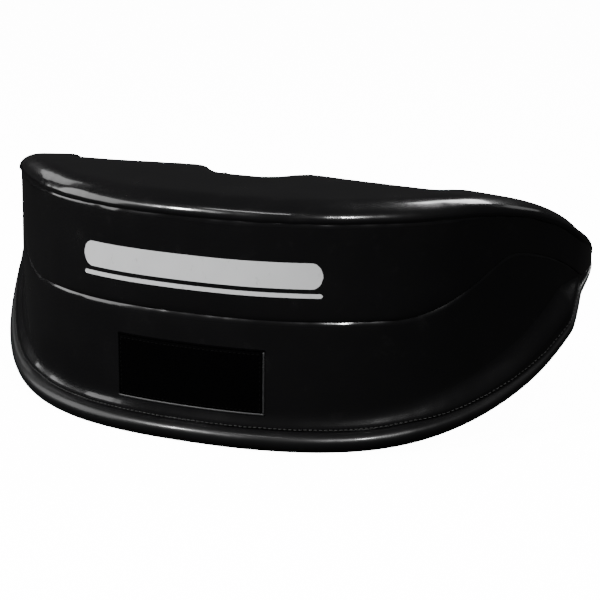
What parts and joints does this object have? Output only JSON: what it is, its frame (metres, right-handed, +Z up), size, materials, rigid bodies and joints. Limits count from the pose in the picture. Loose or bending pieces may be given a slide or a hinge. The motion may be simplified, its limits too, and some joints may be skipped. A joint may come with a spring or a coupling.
{
  "type": "groin protector",
  "caption": "Half-moon padded groin bumper with a flat top, rolled front edge, beaded base, swept-up wings, cup insert and open waist belt.",
  "frame": {"origin": "middle of the flat part of the base, at base height", "axes": "+Z up, -Y out of the padded front, +Y towards the wearer, +X to the right seen from the front"},
  "size_m": [0.4202, 0.3042, 0.157],
  "materials": {
    "cover": "glossy smooth synthetic leather",
    "backing": "matt woven cloth",
    "loop_pile": "matt pile",
    "soft_foam": "open-cell foam",
    "dense_foam": "closed-cell foam",
    "core_foam": "closed-cell foam",
    "plate": "plain sheet",
    "moulded_plastic": "satin moulded",
    "liner": "brushed knit",
    "webbing": "woven webbing",
    "ring_steel": "nickel plated"
  },
  "bodies": {
    "pad": {"top_panel": "cover", "upper_front_panel": "cover", "lower_front_panel": "cover", "bottom_bead": "cover", "bead_cord": "soft_foam", "base_panel": "backing", "back_panel": "backing", "loop_patch": "loop_pile", "roll_foam": "soft_foam", "top_foam": "soft_foam", "front_foam": "soft_foam", "dense_foam": "dense_foam", "spreader_plate": "plate", "core_slab_bottom": "core_foam", "core_slab_middle": "core_foam", "core_slab_top": "core_foam", "left_wing_foam": "core_foam", "right_wing_foam": "core_foam", "cup_pocket": "liner", "left_anchor": "webbing", "right_anchor": "webbing"},
    "cup": {"groin_cup": "moulded_plastic", "cup_liner": "liner"},
    "left_ring": {"left_ring": "ring_steel"},
    "right_ring": {"right_ring": "ring_steel"},
    "left_belt": {"left_belt": "webbing", "belt_loop_strip": "loop_pile"},
    "right_belt": {"right_belt": "webbing", "belt_hook_strip": "loop_pile"},
    "slider": {"belt_slider": "moulded_plastic"}
  },
  "joints": [
    {"name": "left_ring_swing", "type": "hinge", "parent": "pad", "child": "left_ring", "pos_m": [-0.14434, 0.14629, 0.095], "axis": [0, 0, 1], "range_deg": [-8, 35]},
    {"name": "left_belt_swing", "type": "hinge", "parent": "left_ring", "child": "left_belt", "pos_m": [-0.14143, 0.15998, 0.095], "axis": [0, 0, 1], "range_deg": [-3, 50]},
    {"name": "right_ring_swing", "type": "hinge", "parent": "pad", "child": "right_ring", "pos_m": [0.14434, 0.14629, 0.095], "axis": [0, 0, -1], "range_deg": [-8, 35]},
    {"name": "right_belt_swing", "type": "hinge", "parent": "right_ring", "child": "right_belt", "pos_m": [0.14143, 0.15998, 0.095], "axis": [0, 0, -1], "range_deg": [-3, 50]},
    {"name": "slider_travel", "type": "hinge", "parent": "left_belt", "child": "slider", "pos_m": [0, 0.075, 0.095], "axis": [0, 0, 1], "range_deg": [-9, 9]},
    {"name": "cup_lift", "type": "slide", "parent": "pad", "child": "cup", "axis": [0, 0, 1], "range_m": [0, 0.1]}
  ]
}
